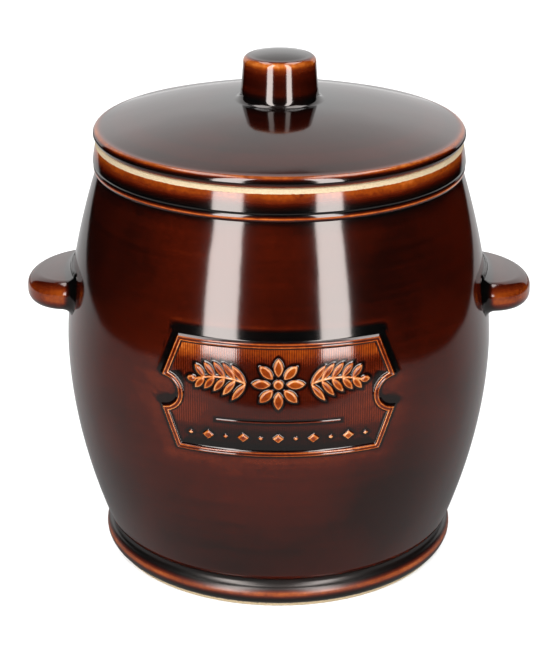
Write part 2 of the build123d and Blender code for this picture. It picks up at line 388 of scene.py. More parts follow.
def cap_height(radius, rim, rise):
    """Height of a spherical cap over its rim, at a radius."""
    ball = (rim**2 + rise**2) / (2 * rise)
    return math.sqrt(ball**2 - radius**2) - (ball - rise)


def cap_line(inner, outer, rim, level, rise, count=40):
    """Points outwards over a spherical cap that stands on a level."""
    radii = [inner + (outer - inner) * i / count for i in range(count + 1)]
    return [(r, level + cap_height(r, rim, rise)) for r in radii]


def jar_outline():
    outside = [(0, foot_recess), (foot_ring_inner - foot_ring_slant, foot_recess)]
    outside += [(foot_ring_inner, 0), (foot_edge[0] - foot_bevel[0], 0)]
    outside += [(foot_edge[0], foot_bevel[1]), foot_edge]
    outside += arc(foot_edge, foot_crest, cove_start, 24)
    outside += arc(cove_start, cove_low, barrel_foot, 16)
    outside += barrel_line(barrel_foot[1], collar_foot[1])[1:]
    outside += arc(collar_foot, bead_crest, bead_cove, 14)
    outside += arc(bead_cove, collar_turn, collar_crest, 8)
    outside += arc(collar_crest, collar_middle, collar_shoulder, 20)
    inside = rounded([
        collar_shoulder, (rim_radius, rim_height), (gutter_outer, rim_height),
        (gutter_outer, gutter_floor), (neck_outer, gutter_floor), (neck_outer, neck_height),
        (mouth_radius, neck_height), (mouth_radius, shelf_height),
    ], [rim_round, rim_round, gutter_round, gutter_round, neck_round, neck_round])
    vault_height = shelf_height - shelf_fall
    vault_radius = barrel_radius(vault_height) - wall
    out, up = shelf_bulge
    bulge = (mouth_radius + (vault_radius - mouth_radius) * out, vault_height + shelf_fall * up)
    inside += arc((mouth_radius, shelf_height), bulge, (vault_radius, vault_height), 10)
    side = barrel_line(vault_height, floor_height + floor_corner[1], -wall, outline_step)
    corner = (side[-1][0] - floor_corner[0], floor_height)
    bend = (side[-1][0] - floor_bend[0], floor_height + floor_bend[1])
    inside += side[1:] + arc(side[-1], bend, corner, 8) + [(0, floor_height)]
    return thinned(outside + inside[1:], outline_step)


def lid_outline():
    dome_rim = lid_radius - lid_rim_round
    vault_rim = skirt_inner - lid_vault_margin
    vault = cap_line(0, vault_rim, vault_rim, lid_base, lid_vault_rise, 16)
    skirt = rounded([
        vault[-1], (skirt_inner, lid_base), (skirt_inner, gutter_floor),
        (skirt_outer, gutter_floor), (skirt_outer, lid_base), (lid_lip_radius, lid_base),
        (lid_radius, lid_base + lid_side_height),
    ], [skirt_root, skirt_round, skirt_round, skirt_root, lip_round])
    dome = cap_line(knob_radius + knob_root, dome_rim, dome_rim, lid_rim_height, lid_dome_rise)
    side_top = (lid_radius, lid_rim_height - lid_rim_round)
    slant = lid_rim_round * (1 - math.sqrt(0.5))
    rim = arc(side_top, (lid_radius - slant, lid_rim_height - slant), dome[-1], 14)
    root_top = knob_seat + knob_root_top
    root_slant = knob_root * math.sqrt(0.5)
    root_middle = (knob_radius + knob_root - root_slant, root_top - root_slant)
    root = arc(dome[0], root_middle, (knob_radius - root_tuck, root_top), 14)
    bed = knob_radius - knob_bed_margin
    under_knob = [(bed, root_top), (bed, knob_seat), (0, knob_seat)]
    line = vault + skirt[1:] + [side_top] + rim + dome[-2::-1] + root + under_knob
    return thinned(line, outline_step)


def knob_outline():
    top = knob_seat + knob_height
    side = arc((knob_radius, knob_seat), (knob_waist, knob_seat + knob_height / 2),
               (knob_top, top - knob_round), 20)
    face_rim = knob_top - knob_round
    slant = knob_round * (1 - math.sqrt(0.5))
    edge = arc(side[-1], (knob_top - slant, top - slant), (face_rim, top), 14)
    face = cap_line(0, face_rim, face_rim, top, knob_crown, 10)
    return [(0, knob_seat), (knob_radius, knob_seat)] + side + edge + face[-2::-1]


# Making meshes


def clear_selection():
    bpy.ops.object.select_all(action="DESELECT")


def choose(piece):
    clear_selection()
    piece.select_set(True)
    bpy.context.view_layer.objects.active = piece


def named(name):
    """The object just added, with its place moved into its mesh, under a new name."""
    piece = bpy.context.object
    piece.name = piece.data.name = name
    bpy.ops.object.transform_apply(location=True, rotation=True, scale=True)
    return piece


def turned(name, outline):
    """Closed piece turned about the pot's axis from (radius, height) points."""
    clear_selection()
    bpy.ops.mesh.primitive_plane_add(size=mm, location=(outline[0][0], 0, outline[0][1]))
    piece = named(name)
    bpy.ops.object.mode_set(mode="EDIT")
    bpy.ops.mesh.merge(type="CENTER")
    for here, there in zip(outline, outline[1:]):
        step = (there[0] - here[0], 0, there[1] - here[1])
        bpy.ops.mesh.extrude_vertices_move(TRANSFORM_OT_translate={"value": step})
    bpy.ops.mesh.select_all(action="SELECT")
    bpy.ops.mesh.spin(steps=turn_steps, angle=2 * math.pi, center=(0, 0, 0), axis=(0, 0, 1))
    bpy.ops.mesh.select_all(action="SELECT")
    bpy.ops.mesh.remove_doubles(threshold=turned_merge)
    bpy.ops.mesh.normals_make_consistent(inside=False)
    bpy.ops.object.mode_set(mode="OBJECT")
    bpy.ops.object.shade_smooth_by_angle(angle=crisp_angle)
    return piece


def points_of(piece):
    flat = np.empty(len(piece.data.vertices) * 3)
    piece.data.vertices.foreach_get("co", flat)
    return flat.reshape(-1, 3)


def radius_and_height(piece):
    points = points_of(piece)
    return np.hypot(points[:, 0], points[:, 1]), points[:, 2]


def put_points(piece, points):
    piece.data.vertices.foreach_set("co", np.ascontiguousarray(points).ravel())
    piece.data.update()


def paint(piece, name, values):
    """Stores one number a vertex under a name that a material reads."""
    layer = piece.data.attributes.new(name, "FLOAT", "POINT")
    layer.data.foreach_set("value", np.ascontiguousarray(values, dtype=np.float32))


def smooth(low, high, x):
    """Smooth step from 0 at low to 1 at high."""
    t = np.clip((x - low) / (high - low), 0, 1)
    return t * t * (3 - 2 * t)


def band(x, centre, width):
    """Bump of height 1 at the centre, gone a few widths away."""
    return np.exp(-(((x - centre) / width) ** 2))


def looked_up(table, length):
    """Value of a table of (length in mm, value) rows at each length."""
    return np.interp(length / mm, *zip(*table))


def outline_bend(outline, reach):
    """At each outline point, how far the line bends within a reach: outwards is positive."""
    line = np.array(outline)
    run = np.concatenate([[0], np.cumsum(np.hypot(*np.diff(line, axis=0).T))])

    def at(s):
        return np.stack([np.interp(s, run, line[:, i]) for i in (0, 1)], axis=1)

    here = at(run)
    ahead, back = at(np.minimum(run + reach, run[-1])) - here, here - at(np.maximum(run - reach, 0))
    cross = back[:, 0] * ahead[:, 1] - back[:, 1] * ahead[:, 0]
    return np.arctan2(cross, (back * ahead).sum(axis=1))


def turned_bend(piece, outline, reach):
    """The outline's bend carried to the vertices of the piece turned from it."""
    radius, height = radius_and_height(piece)
    line, bend = np.array(outline), outline_bend(outline, reach)
    nearest, at_once = np.empty(len(radius), dtype=int), 4096
    for start in range(0, len(radius), at_once):
        part = slice(start, start + at_once)
        far = (radius[part, None] - line[:, 0]) ** 2 + (height[part, None] - line[:, 1]) ** 2
        nearest[part] = far.argmin(axis=1)
    return bend[nearest]


# Relief plate, as distances on the plate seen from the front


def ticket_distance(x, z):
    """Distance inside (negative) or outside (positive) the plate's ticket outline."""
    half = [(0, plate_high.z), (plate_top_half, plate_high.z)]
    upper = (plate_waist_half, bite_height + bite_radius)
    bite = arc(upper, (plate_waist_half - bite_radius, bite_height),
               (plate_waist_half, bite_height - bite_radius), 20)
    half += [upper] + bite + [(plate_bottom_half, plate_low.z), (0, plate_low.z)]
    x = np.abs(x)
    best = np.full(x.shape, 1.0)
    inside = np.zeros(x.shape, dtype=bool)
    for (ax, az), (bx, bz) in zip(half, half[1:]):
        dx, dz = bx - ax, bz - az
        t = np.clip(((x - ax) * dx + (z - az) * dz) / (dx * dx + dz * dz), 0, 1)
        best = np.minimum(best, np.hypot(x - ax - t * dx, z - az - t * dz))
        if az != bz:
            crosses = (az > z) != (bz > z)
            inside ^= crosses & (x < ax + (z - az) * dx / dz)
    return np.where(inside, -best, best)


def leaf_distance(x, z, length, width):
    """Distance to a pointed leaf lying along +x from the origin."""
    half, waist = length / 2, width / 2
    ball = (half**2 + waist**2) / (2 * waist)
    x = x - half
    return np.hypot(x, np.abs(z) + ball - waist) - ball


def turned_leaf(x, z, at, lean, length, width):
    dx, dz = x - at[0], z - at[1]
    along = dx * math.cos(lean) + dz * math.sin(lean)
    across = dz * math.cos(lean) - dx * math.sin(lean)
    return leaf_distance(along, across, length, width)


def ornament_distance(x, z):
    """Distance to the nearest raised stroke of the ornament."""
    found = [np.hypot(x, z - rosette_height) - rosette_eye]
    for i in range(petal_count):
        lean = 2 * math.pi * i / petal_count
        start = rosette_radius - petal_length
        at = (start * math.cos(lean), rosette_height + start * math.sin(lean))
        found.append(turned_leaf(x, z, at, lean, petal_length, petal_width))
    side = np.abs(x)
    stem_end = sprig_start + sprig_length
    bow = (sprig_length**2 / 4 + sprig_lift**2) / (2 * sprig_lift)
    centre = ((sprig_start + stem_end) / 2, rosette_height + sprig_lift - bow)
    stem = np.abs(np.hypot(side - centre[0], z - centre[1]) - bow) - stem_width / 2
    found.append(np.maximum(stem, np.abs(side - centre[0]) - sprig_length / 2))
    tip = (stem_end - stem_width, rosette_height)
    found.append(turned_leaf(side, z, tip, 0, leaf_length * leaf_shrink, leaf_width))
    swing = math.asin(sprig_length / 2 / bow)
    for i in range(leaf_pairs):
        way = i / leaf_pairs
        turn = swing * (1 - 2 * way)
        at = (centre[0] - bow * math.sin(turn), centre[1] + bow * math.cos(turn))
        length = leaf_length * (1 - leaf_shrink * way)
        for lean in (leaf_lean, -leaf_lean):
            found.append(turned_leaf(side, z, at, lean, length, leaf_width))
    rule = np.maximum(side - rule_half, np.abs(z - rule_height) - rule_width / 2)
    found.append(rule + rule_thinning)
    for i in range(row_gaps + 1):
        size = 1 if i % 2 else small_lozenge
        across, up = (size * half for half in lozenge_half)
        dx, dz = np.abs(x - row_half * (2 * i / row_gaps - 1)), np.abs(z - row_height)
        found.append((dx / across + dz / up - 1) * across * up / math.hypot(across, up))
    return np.minimum.reduce(found)


def plate_height(x, z):
    """Height of the plate's face over the barrel, sinking under it past the outer edge."""
    outside = ticket_distance(x, z)
    frame_rise = smooth(relief_edge, -relief_edge, outside)
    frame_rise *= smooth(-relief_edge, relief_edge, outside + frame_width)
    frame_rise *= 1 - frame_line_depth * band(outside, -frame_width / 2, frame_width / 5)
    marks = ornament_share * smooth(*ornament_slope, ornament_distance(x, z))
    ground = plate_ground * smooth(*ground_slope, outside)
    height = ground + (plate_relief - ground) * np.maximum(frame_rise, marks)
    foot = np.clip(outside / plate_foot, 0, 2)
    swell = np.where(outside > 0, 1 - foot, 1 - smooth(0, swell_reach, -outside))
    return height + plate_swell * swell


def plate_points(x, z, lift):
    """Points at x and z on the barrel's front, moved out by lift."""
    return np.stack([x, -np.sqrt((barrel_radii(z) + lift) ** 2 - x**2), z], axis=-1)


def grid_sheet(name, columns, rows):
    clear_selection()
    bpy.ops.mesh.primitive_grid_add(x_subdivisions=columns, y_subdivisions=rows, size=1)
    return named(name)


def close_up():
    """Merges the chosen piece's doubles, turns its faces outwards and leaves edit mode."""
    bpy.ops.object.mode_set(mode="EDIT")
    bpy.ops.mesh.select_mode(type="VERT")
    bpy.ops.mesh.select_all(action="SELECT")
    bpy.ops.mesh.remove_doubles(threshold=closing_merge)
    bpy.ops.mesh.normals_make_consistent(inside=False)
    bpy.ops.object.mode_set(mode="OBJECT")


def apply_modifier(piece, kind, **settings):
    modifier = piece.modifiers.new(kind.title(), kind)
    for name, value in settings.items():
        setattr(modifier, name, value)
    choose(piece)
    bpy.ops.object.modifier_apply(modifier=modifier.name)


def plate_places(unit):
    """Grid places from -0.5 to 0.5 spread over the plate and its margin: x, z."""
    half = plate_waist_half + plate_margin
    low, high = plate_low.z - plate_margin, plate_high.z + plate_margin
    return unit[:, 0] * 2 * half, low + (unit[:, 1] + 0.5) * (high - low)


def label_plate():
    """Front sheet with the relief and a coarse back sheet in the wall, bridged at their borders."""
    width = 2 * (plate_waist_half + plate_margin)
    height = plate_high.z - plate_low.z + 2 * plate_margin
    columns, rows = round(width / plate_step), round(height / plate_step)
    front = grid_sheet("label_plate_dressed", columns, rows)
    unit = points_of(front)
    x, z = plate_places(unit)
    for name, values in zip(("thin", "ribbed"), plate_thinness(x, z)):
        paint(front, name, values)
    border = (np.abs(unit[:, :2]) > 0.4999).any(axis=1)
    put_points(front, plate_points(x, z, np.where(border, -rim_sunk, plate_height(x, z))))
    back = grid_sheet("plate_back", *plate_back_cells)
    put_points(back, plate_points(*plate_places(points_of(back)), -back_sunk))
    front.select_set(True)
    bpy.context.view_layer.objects.active = front
    bpy.ops.object.join()
    bpy.ops.object.mode_set(mode="EDIT")
    bpy.ops.mesh.select_mode(type="EDGE")
    bpy.ops.mesh.select_all(action="DESELECT")
    bpy.ops.mesh.select_non_manifold(extend=False, use_wire=False, use_boundary=True,
                                     use_multi_face=False, use_non_contiguous=False,
                                     use_verts=False)
    bpy.ops.mesh.bridge_edge_loops()
    close_up()
    bpy.ops.object.shade_smooth()
    return front


def lug():
    """Left lug: a ball pressed into a half-round slab, flared at its root and cut off in the wall."""
    root = barrel_radius(lug_height) - wall / 2
    reach, width, half = lug_reach - root, lug_half_width, lug_half_thickness
    clear_selection()
    bpy.ops.mesh.primitive_uv_sphere_add(segments=lug_sides, ring_count=lug_sides // 2, radius=1)
    piece = named("handle_left_dressed")
    ball = points_of(piece)
    rise = np.arcsin(np.clip(ball[:, 2], -1, 1)) / (math.pi / 2)
    side = np.arctan2(ball[:, 1], ball[:, 0])
    # The ball's middle half becomes the round edge, and its ends the crowned faces
    turn = np.minimum(np.abs(rise) * 2, 1) * math.pi / 2
    inwards = np.clip(np.abs(rise) * 2 - 1, 0, 1)
    inset = lug_edge_round * (1 - np.cos(turn))
    across = np.stack([np.cos(side) * (reach - inset) * (1 - inwards),
                       np.sin(side) * (width - inset) * (1 - inwards)], axis=1)
    up = half - lug_edge_round * (1 - np.sin(turn)) + lug_crown * inwards * (2 - inwards)
    points = np.column_stack([across[:, 0] - root, across[:, 1], lug_height + np.sign(rise) * up])
    points[:, 2] += math.tan(lug_droop) * across[:, 0]
    put_points(piece, points)
    normals = np.empty(len(points) * 3)
    piece.data.vertices.foreach_get("normal", normals)
    normals = normals.reshape(-1, 3)
    away = points * (1, 1, 0)
    away /= np.linalg.norm(away, axis=1)[:, None]
    clear = np.hypot(points[:, 0], points[:, 1]) - barrel_radii(points[:, 2])
    near = np.clip(1 - clear / lug_root_fillet, 0, 1)
    flare = lug_root_fillet * (1 - np.sqrt(1 - near**2))
    along = normals - (normals * away).sum(axis=1)[:, None] * away
    along /= np.maximum(np.linalg.norm(along, axis=1), 1e-6)[:, None]
    put_points(piece, points + along * flare[:, None])
    edge = np.clip(1 - np.abs(normals[:, 2]), 0, 1)
    thin = lug_film + lug_edge_film * smooth(0.05, 0.75, edge)
    thin -= lug_under_film * smooth(0.05, -0.5, normals[:, 2])
    thin += lug_middle_film * band(clear, *lug_middle)
    paint(piece, "thin", thin * smooth(*lug_pool, clear))
    bpy.ops.object.mode_set(mode="EDIT")
    bpy.ops.mesh.select_all(action="SELECT")
    bpy.ops.mesh.bisect(plane_co=(-root + lug_cut, 0, 0), plane_no=(1, 0, 0),
                        clear_outer=True, use_fill=True)
    close_up()
    bpy.ops.object.shade_smooth_by_angle(angle=crisp_angle)
    return piece


def stone():
    """Left pressing stone: a disc cut down the middle, its corners and rims rounded."""
    clear_selection()
    bpy.ops.mesh.primitive_cylinder_add(
        vertices=stone_sides, radius=-stone_low.x, depth=stone_high.z - stone_low.z,
        location=(0, 0, (stone_low.z + stone_high.z) / 2),
    )
    piece = named("weight_left_dressed")
    bpy.ops.object.mode_set(mode="EDIT")
    bpy.ops.mesh.select_all(action="SELECT")
    bpy.ops.mesh.bisect(plane_co=(stone_high.x, 0, 0), plane_no=(1, 0, 0),
                        clear_outer=True, use_fill=True)
    bpy.ops.mesh.select_mode(type="EDGE")
    bpy.ops.mesh.select_all(action="DESELECT")
    bpy.ops.object.mode_set(mode="OBJECT")
    points = points_of(piece)
    for edge in piece.data.edges:
        a, b = points[edge.vertices[0]], points[edge.vertices[1]]
        upright = abs(a[2] - b[2]) > mm and np.allclose(a[:2], b[:2], atol=mm / 10)
        edge.select = bool(upright and a[0] > stone_high.x - mm / 10)
    bpy.ops.object.mode_set(mode="EDIT")
    bpy.ops.mesh.bevel(offset=stone_corner, segments=10)
    bpy.ops.object.mode_set(mode="OBJECT")
    apply_modifier(piece, "BEVEL", width=stone_round, segments=6, limit_method="ANGLE",
                   angle_limit=stone_rim_angle)
    close_up()
    bpy.ops.object.shade_smooth_by_angle(angle=stone_crisp_angle)
    return piece


def other_side(piece, name):
    """Mirror copy on the other side of the pot, with its own mesh."""
    twin = piece.copy()
    twin.data = piece.data.copy()
    twin.name = twin.data.name = name
    bpy.context.collection.objects.link(twin)
    put_points(twin, points_of(twin) * (-1, 1, 1))
    choose(twin)
    bpy.ops.object.mode_set(mode="EDIT")
    bpy.ops.mesh.select_all(action="SELECT")
    bpy.ops.mesh.flip_normals()
    close_up()
    return twin


def cut_notches(piece):
    """Two gas notches through the skirt's lower edge."""
    clear_selection()
    bpy.ops.mesh.primitive_cylinder_add(
        vertices=notch_sides, radius=notch_radius, depth=2 * gutter_outer,
        location=(0, 0, gutter_floor), rotation=(0, math.pi / 2, 0),
    )
    cutter = named("notch_cutter")
    apply_modifier(piece, "BOOLEAN", operation="DIFFERENCE", solver="EXACT", object=cutter)
    bpy.data.objects.remove(cutter)
    close_up()
    bpy.ops.object.shade_smooth_by_angle(angle=crisp_angle)


# Where the glaze lies thin and where the clay is bare


def barrel_thinness(x, z):
    """How thin the glaze lies on the barrel: less above and beside the plate, where it pools and
    painted shadow lies along the raised edge, with patches of painted light and shade on the front.
    """
    outside = ticket_distance(x, z)
    up = ticket_distance(x, z + slope_step) - ticket_distance(x, z - slope_step)
    over = ticket_distance(x + slope_step, z) - ticket_distance(x - slope_step, z)
    facing_up = up / np.maximum(np.hypot(up, over), 1e-9)
    # Dark pool round the plate, wider above: pooled glaze, with painted shadow along the plate's
    # raised edge
    pool_width = pool_beside + pool_above * smooth(-0.1, 0.95, facing_up)
    pool = smooth(pool_width, 0.6 * pool_width, outside)
    line = band(outside, pool_width + pool_line[0], pool_line[1]) * smooth(0.2, 0.9, facing_up)
    glow = band(outside, pool_width + pool_glow[0], pool_glow[1])
    glow *= 0.3 + 0.7 * smooth(0.2, -0.6, facing_up)
    base = looked_up(barrel_table, z)
    # Painted light and shade in patches on the front, along with the dipping's unevenness
    for across, height, reach, amount in barrel_patches:
        away = np.hypot(x / mm - across, z / mm - height)
        base = base + amount * band(away, 0, reach)
    shift = pool_line_film * line + pool_glow_film * glow - (base + pool_film) * pool
    return base + np.where(outside > 0, shift, 0)


def plate_thinness(x, z):
    """On the plate: how thin the glaze lies, and how much of the ribbed ground is there.

    It breaks over both lines of the frame and the rims of the raised marks, and pools round
    them, most of all where something raised lies below."""
    outside, ornament = ticket_distance(x, z), ornament_distance(x, z)
    inside = smooth(*plate_blur, outside)
    inner = -outside - frame_width
    on_frame = smooth(*frame_blur, outside) * smooth(*frame_inner_blur, -inner)
    raised = np.maximum(on_frame, smooth(*mark_blur, ornament) * inside)
    slope = ticket_distance(x, z - slope_step) - ticket_distance(x, z + slope_step)
    pool_width = frame_pool[0] + frame_pool[1] * smooth(0.1, 0.9, slope / (2 * slope_step))
    pool = smooth(pool_width, 0.45 * pool_width, inner) * (inner > 0)
    pool = np.maximum(pool, smooth(*mark_pool, ornament) * (ornament > 0))
    low = smooth(*low_band, rule_height - z)
    sides = smooth(rosette_radius, plate_top_half, np.abs(x))
    top = smooth(*top_band, plate_high.z - z)
    ground = ground_film + side_film * sides + top_film * top - low_film * low
    ground = ground * (1 - pool) + pooled_film * pool
    lines = np.maximum(band(outside, -frame_line / 2, frame_line / 2),
                       band(outside, frame_line / 2 - frame_width, frame_line / 2))
    marks = mark_film + mark_rim_film * band(ornament, *mark_rim)
    near_frame = -inner > frame_inner_blur[0]
    film = np.where(near_frame, frame_film + line_film * lines, marks)
    film = ground * (1 - raised) + film * raised
    thin = barrel_thinness(x, z) * (1 - inside) + film * inside
    return np.clip(thin, 0, 1), inside * (1 - raised) * (1 - pool)


def jar_thinness(body, outline):
    """How thin the glaze lies on the jar: by height outside, and by how it bends inside."""
    points, (radius, z) = points_of(body), radius_and_height(body)
    outside = radius > barrel_radii(np.clip(z, barrel_foot[1], collar_foot[1])) - skin
    thin = looked_up(jar_table, z)
    front = outside & (points[:, 1] < 0) & (z > barrel_foot[1]) & (z < collar_foot[1])
    thin[front] = barrel_thinness(points[front, 0], z[front])
    thin[~outside] = inside_film
    inner = radius < gutter_outer + mm
    bent = bend_film * turned_bend(body, outline, bend_reach)[inner]
    thin[inner] = np.clip(inside_film + bent, 0, most_bent_film)
    return thin


def glazed_jar():
    outline = jar_outline()
    piece = turned("jar_body_dressed", outline)
    radius, z = radius_and_height(piece)
    paint(piece, "thin", jar_thinness(piece, outline))
    rim_bare = smooth(*rim_wipe, z) * smooth(gutter_outer - rim_wipe_in, gutter_outer, radius)
    paint(piece, "bare", np.maximum(rim_bare, smooth(*foot_wipe, z)))
    paint(piece, "matt", foot_dull * smooth(*foot_dulling, z))
    return piece


def glazed_lid():
    piece = turned("lid_dressed", lid_outline())
    cut_notches(piece)
    radius, z = radius_and_height(piece)
    top = z > lid_rim_height - 0.3 * mm
    thin = np.where(top, looked_up(lid_top_table, radius), looked_up(lid_side_table, z - lid_base))
    thin[(radius < skirt_outer + 2 * mm) & (z < lid_base + lid_vault_rise + mm)] = hidden_film
    paint(piece, "thin", thin)
    lip_bare = smooth(*lip_wipe, z - lid_base) * smooth(*lip_wipe_out, radius)
    paint(piece, "bare", np.maximum(smooth(*skirt_wipe, z - gutter_floor), lip_bare))
    return piece


def glazed_knob():
    piece = turned("lid_knob_dressed", knob_outline())
    radius, z = radius_and_height(piece)
    height = z - knob_seat
    share = smooth(knob_height - 1.6 * mm, knob_height - 0.2 * mm, height)
    side, top = looked_up(knob_side_table, height), looked_up(knob_top_table, radius)
    paint(piece, "thin", side * (1 - share) + top * share)
    return piece


def build():
    """Every piece of the pot, under the name of the node that it stands for."""
    pieces = {"jar_body": glazed_jar(), "lid": glazed_lid(), "lid_knob": glazed_knob(),
              "label_plate": label_plate(), "handle_left": lug()}
    pieces["handle_right"] = other_side(pieces["handle_left"], "handle_right_dressed")
    pieces["weight_left"] = stone()
    pieces["weight_right"] = other_side(pieces["weight_left"], "weight_right_dressed")
    return pieces


# Materials


def linear(hex_colour):
    """sRGB hex colour as linear RGBA."""
    parts = [int(hex_colour[i : i + 2], 16) / 255 for i in (1, 3, 5)]
    return [c / 12.92 if c < 0.04045 else ((c + 0.055) / 1.055) ** 2.4 for c in parts] + [1]


def add(tree, kind, inputs=(), stops=(), **settings):
    """Adds a node. inputs gives sockets, in order or by name, a value or what links to them.

    A node stands for its first output. A ramp's stops are a place with a hex colour or a grey."""
    node = tree.nodes.new("ShaderNode" + kind)
    for name, value in settings.items():
        setattr(node, name, value)
    for socket, value in inputs.items() if isinstance(inputs, dict) else enumerate(inputs):
        if isinstance(value, bpy.types.Node):
            value = value.outputs[0]
        if isinstance(value, bpy.types.NodeSocket):
            tree.links.new(value, node.inputs[socket])
        else:
            node.inputs[socket].default_value = value
    if stops:
        elements = node.color_ramp.elements
        while len(elements) < len(stops):
            elements.new(0.5)
        for element, (position, colour) in zip(elements, stops):
            element.position = position
            element.color = linear(colour) if isinstance(colour, str) else [colour] * 3 + [1]
    return node


def new_material(name):
    material = bpy.data.materials.new(name)
    material.use_nodes = True
    tree = material.node_tree
    tree.nodes.clear()
    return material, tree


def glaze_material():
    """Brown breaking glaze, dipped and fired: nearly black where it pools, amber over edges.

    It looks like a pool of dark syrup with a hard, even gloss. The clay shows matt and cream
    where the glaze was wiped off."""
    material, tree = new_material("brown_breaking_glaze")
    place = add(tree, "TexCoord").outputs["Object"]
    thin, bare, ribbed, matt = (
        add(tree, "Attribute", attribute_name=name).outputs["Fac"]
        for name in ("thin", "bare", "ribbed", "matt")
    )
    # Clouds and streaks from the dipping and wiping, crumbs and mottles where it lies thin
    clouds = add(tree, "TexNoise", {"Vector": place, "Scale": clouds_a_metre, "Detail": 3,
                                    "Distortion": 0.4})
    flat = add(tree, "Mapping", {"Vector": place, "Scale": streaks_a_metre})
    streaks = add(tree, "TexNoise", {"Vector": flat, "Scale": 1, "Detail": 4})
    crumbs = add(tree, "TexNoise", {"Vector": place, "Scale": crumbs_a_metre, "Detail": 3})
    mottles = add(tree, "TexNoise", {"Vector": place, "Scale": mottles_a_metre, "Detail": 2})
    cloud, streak, crumb, mottle = (
        add(tree, "Math", (noise, 0.5), operation="SUBTRACT")
        for noise in (clouds, streaks, crumbs, mottles)
    )
    thin_crumb, thin_mottle = (
        add(tree, "Math", (pattern, thin), operation="MULTIPLY") for pattern in (crumb, mottle)
    )
    # Upright ribs on the plate's ground
    across = add(tree, "SeparateXYZ", (place,)).outputs["X"]
    turn = add(tree, "Math", (across, 2 * math.pi / rib_spacing), operation="MULTIPLY")
    rib = add(tree, "Math", (turn,), operation="SINE")
    rib = add(tree, "Math", (rib, ribbed), operation="MULTIPLY")

    film = thin
    for pattern, amount in ((cloud, cloud_film), (streak, streak_film), (thin_crumb, crumb_film),
                            (thin_mottle, mottle_film), (rib, rib_film)):
        film = add(tree, "Math", (pattern, amount, film), operation="MULTIPLY_ADD")
    glaze = add(tree, "ValToRGB", (film,), glaze_stops)

    edge = add(tree, "Math", (streak, streak_wipe, bare), operation="MULTIPLY_ADD")
    edge = add(tree, "Math", (crumb, crumb_wipe, edge), operation="MULTIPLY_ADD")
    wiped = add(tree, "MapRange", (edge, *wipe_blur), interpolation_type="SMOOTHSTEP")
    grain = add(tree, "TexNoise", {"Vector": place, "Scale": grain_a_metre, "Detail": 4})
    clay = add(tree, "ValToRGB", (grain,), clay_stops)
    colour = add(tree, "Mix", {0: wiped, 6: glaze, 7: clay}, data_type="RGBA").outputs[2]
    rough = add(tree, "MapRange", (wiped, 0, 1, glaze_roughness, clay_roughness))
    rough = add(tree, "Math", (matt, dull_roughness, rough), operation="MULTIPLY_ADD")

    # Slow waves, orange peel, the ribs, and the grain of the bare clay
    waves = add(tree, "TexNoise", {"Vector": place, "Scale": waves_a_metre, "Detail": 1})
    peel = add(tree, "TexNoise", {"Vector": place, "Scale": peel_a_metre, "Detail": 1})
    clay_grain = add(tree, "Math", (grain, wiped), operation="MULTIPLY")
    relief = add(tree, "Math", (peel, peel_share), operation="MULTIPLY")
    for pattern, amount in ((waves, wave_share), (rib, rib_share), (clay_grain, grain_share)):
        relief = add(tree, "Math", (pattern, amount, relief), operation="MULTIPLY_ADD")
    bump = add(tree, "Bump", {"Height": relief, "Strength": 1.0, "Distance": relief_depth})
    shader = add(tree, "BsdfPrincipled", {
        "Base Color": colour, "Roughness": rough, "IOR": 1.5, "Normal": bump,
        "Specular Tint": linear(specular_tint),
    })
    add(tree, "OutputMaterial", (shader,))
    return material


def stone_material():
    """Unglazed stoneware, fired bare: matt, cream, with fine grit and darker iron specks."""
    material, tree = new_material("bare_cream_stoneware")
    place = add(tree, "TexCoord").outputs["Object"]
    grit = add(tree, "TexNoise", {"Vector": place, "Scale": grit_a_metre, "Detail": 4})
    tone = add(tree, "TexNoise", {"Vector": place, "Scale": tone_a_metre, "Detail": 3})
    specks = add(tree, "TexVoronoi", {"Vector": place, "Scale": specks_a_metre})
    base = add(tree, "ValToRGB", (tone,), stone_stops)
    dark = add(tree, "MapRange", (specks, *speck_size, speck_strength, 0))
    colour = add(tree, "Mix", {0: dark, 6: base, 7: linear(speck_brown)}, data_type="RGBA")
    bump = add(tree, "Bump", {"Height": grit, "Strength": 0.6, "Distance": grit_depth})
    shader = add(tree, "BsdfPrincipled", {
        "Base Color": colour.outputs[2], "Roughness": 0.82, "IOR": 1.5, "Normal": bump,
    })
    add(tree, "OutputMaterial", (shader,))
    return material


def plain_material(name, colour, roughness, specular=0.5):
    """Cloth, paper or plaster for the studio: one matt colour."""
    material, tree = new_material(name)
    shader = add(tree, "BsdfPrincipled", {"Base Color": linear(colour), "Roughness": roughness,
                                          "Specular IOR Level": specular})
    add(tree, "OutputMaterial", (shader,))
    return material


def table_material():
    """White paper, grey with the pot's own shade in front and getting paler behind it."""
    material, tree = new_material("shaded_paper")
    place = add(tree, "TexCoord").outputs["Generated"]
    back = add(tree, "SeparateXYZ", (place,)).outputs["Y"]
    shade = add(tree, "ValToRGB", (back,), table_stops)
    shader = add(tree, "BsdfPrincipled", {"Base Color": shade, "Roughness": 0.9})
    add(tree, "OutputMaterial", (shader,))
    return material


def glowing(name, strength):
    """Cloth lit from behind, evenly white."""
    material, tree = new_material(name)
    add(tree, "OutputMaterial", (add(tree, "Emission", {"Strength": strength}),))
    return material


# Studio


def card(name, x, y, height, material, turn=0.0):
    """Level card over the spans x and y."""
    clear_selection()
    centre = (sum(x) / 2, sum(y) / 2, height)
    bpy.ops.mesh.primitive_plane_add(size=1, location=centre, rotation=(turn, 0, 0))
    piece = bpy.context.object
    piece.name = piece.data.name = name
    piece.scale = (x[1] - x[0], y[1] - y[0], 1)
    piece.data.materials.append(material)
    return piece


